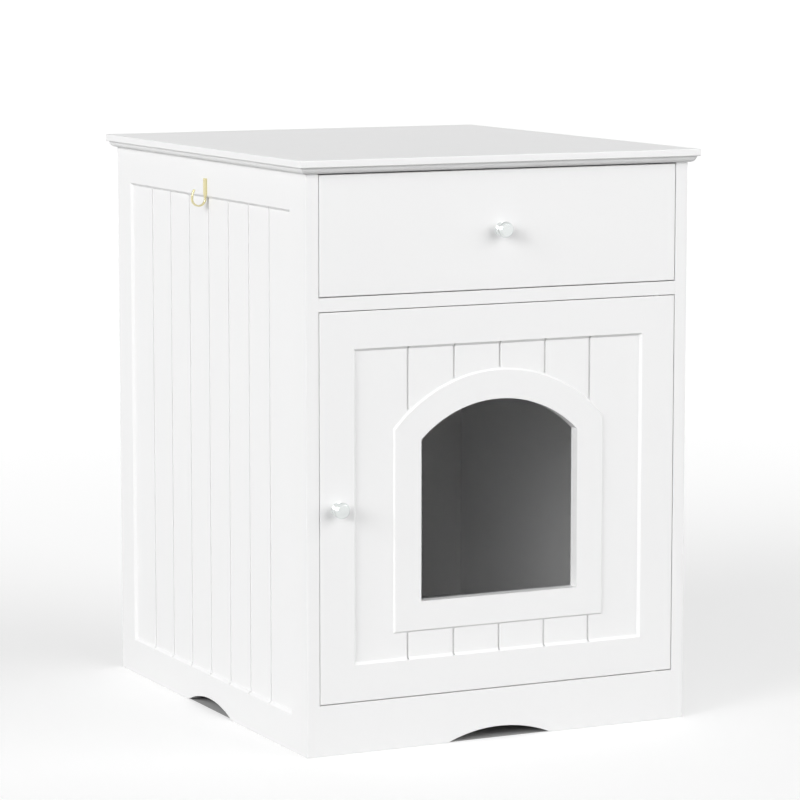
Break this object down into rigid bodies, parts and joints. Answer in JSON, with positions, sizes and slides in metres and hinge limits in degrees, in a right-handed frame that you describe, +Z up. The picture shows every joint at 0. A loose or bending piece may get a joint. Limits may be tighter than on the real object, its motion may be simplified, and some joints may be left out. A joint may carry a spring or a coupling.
{
  "type": "cat litter box cabinet",
  "caption": "White panelled cabinet with a drawer over a hinged door; an arched doorway in the door lets a cat in to a litter tray.",
  "frame": {"origin": "on the floor, at the middle of the cabinet's width and depth", "axes": "+Z up; -Y is the front, with the door and the drawer; +X is to the right seen from the front"},
  "size_m": [0.4999, 0.5689, 0.65],
  "materials": {
    "painted_board": "satin white paint on fibreboard",
    "back_board": "white faced thin board",
    "drawer_board": "satin white paint on fibreboard",
    "dowel_beech": "bare beech",
    "cam_zinc": "die-cast zinc",
    "zinc_plated_steel": "bright zinc plating",
    "bright_steel": "hardened bearing steel",
    "polished_chrome": "polished chrome plate",
    "pale_brass": "pale polished brass",
    "white_nylon": "moulded nylon",
    "ferrite": "sintered ferrite"
  },
  "bodies": {
    "cabinet": {"top_board": "painted_board", "side_panel_left": "painted_board", "side_panel_right": "painted_board", "drawer_shelf": "painted_board", "bottom_board": "painted_board", "toe_rail_front": "painted_board", "toe_rail_back": "painted_board", "back_panel": "back_board", "dowels": "dowel_beech", "cam_locks": "cam_zinc", "cam_bolts": "zinc_plated_steel", "runner_outer_left": "zinc_plated_steel", "runner_outer_right": "zinc_plated_steel", "runner_outer_screws": "zinc_plated_steel", "catch_poles": "zinc_plated_steel", "catch_screws": "zinc_plated_steel", "hook_screws": "zinc_plated_steel", "scoop_hook": "pale_brass", "hinge_bush_bottom": "white_nylon", "hinge_bush_top": "white_nylon", "catch_housing": "white_nylon", "catch_magnet": "ferrite"},
    "drawer": {"drawer_front": "painted_board", "drawer_side_left": "drawer_board", "drawer_side_right": "drawer_board", "drawer_back": "drawer_board", "drawer_base": "drawer_board", "drawer_cam_locks": "cam_zinc", "drawer_cam_bolts": "zinc_plated_steel", "drawer_dowels": "dowel_beech", "drawer_screws": "zinc_plated_steel", "drawer_knob": "polished_chrome", "drawer_knob_screw": "zinc_plated_steel", "runner_inner_left": "zinc_plated_steel", "runner_inner_right": "zinc_plated_steel", "runner_inner_screws": "zinc_plated_steel"},
    "door": {"door_panel": "painted_board", "door_knob": "polished_chrome", "door_knob_screw": "zinc_plated_steel", "hinge_leaf_bottom": "zinc_plated_steel", "hinge_leaf_top": "zinc_plated_steel", "hinge_screws": "zinc_plated_steel", "strike_plate": "zinc_plated_steel", "strike_screw": "zinc_plated_steel"},
    "ball_cage_left": {"ball_cage_left": "zinc_plated_steel", "balls_left": "bright_steel"},
    "ball_cage_right": {"ball_cage_right": "zinc_plated_steel", "balls_right": "bright_steel"}
  },
  "joints": [
    {"name": "drawer_slide", "type": "slide", "parent": "cabinet", "child": "drawer", "axis": [0, -1, 0], "range_m": [0, 0.3]},
    {"name": "door_hinge", "type": "hinge", "parent": "cabinet", "child": "door", "pos_m": [0.1975, -0.266, 0.2715], "axis": [0, 0, 1], "range_deg": [0, 135]},
    {"name": "cage_slide_left", "type": "slide", "parent": "cabinet", "child": "ball_cage_left", "axis": [0, -1, 0], "range_m": [0, 0.15]},
    {"name": "cage_slide_right", "type": "slide", "parent": "cabinet", "child": "ball_cage_right", "axis": [0, -1, 0], "range_m": [0, 0.15]}
  ],
  "couplings": [
    {"joint": "cage_slide_left", "follows": "drawer_slide", "ratio": 0.5},
    {"joint": "cage_slide_right", "follows": "drawer_slide", "ratio": 0.5}
  ]
}
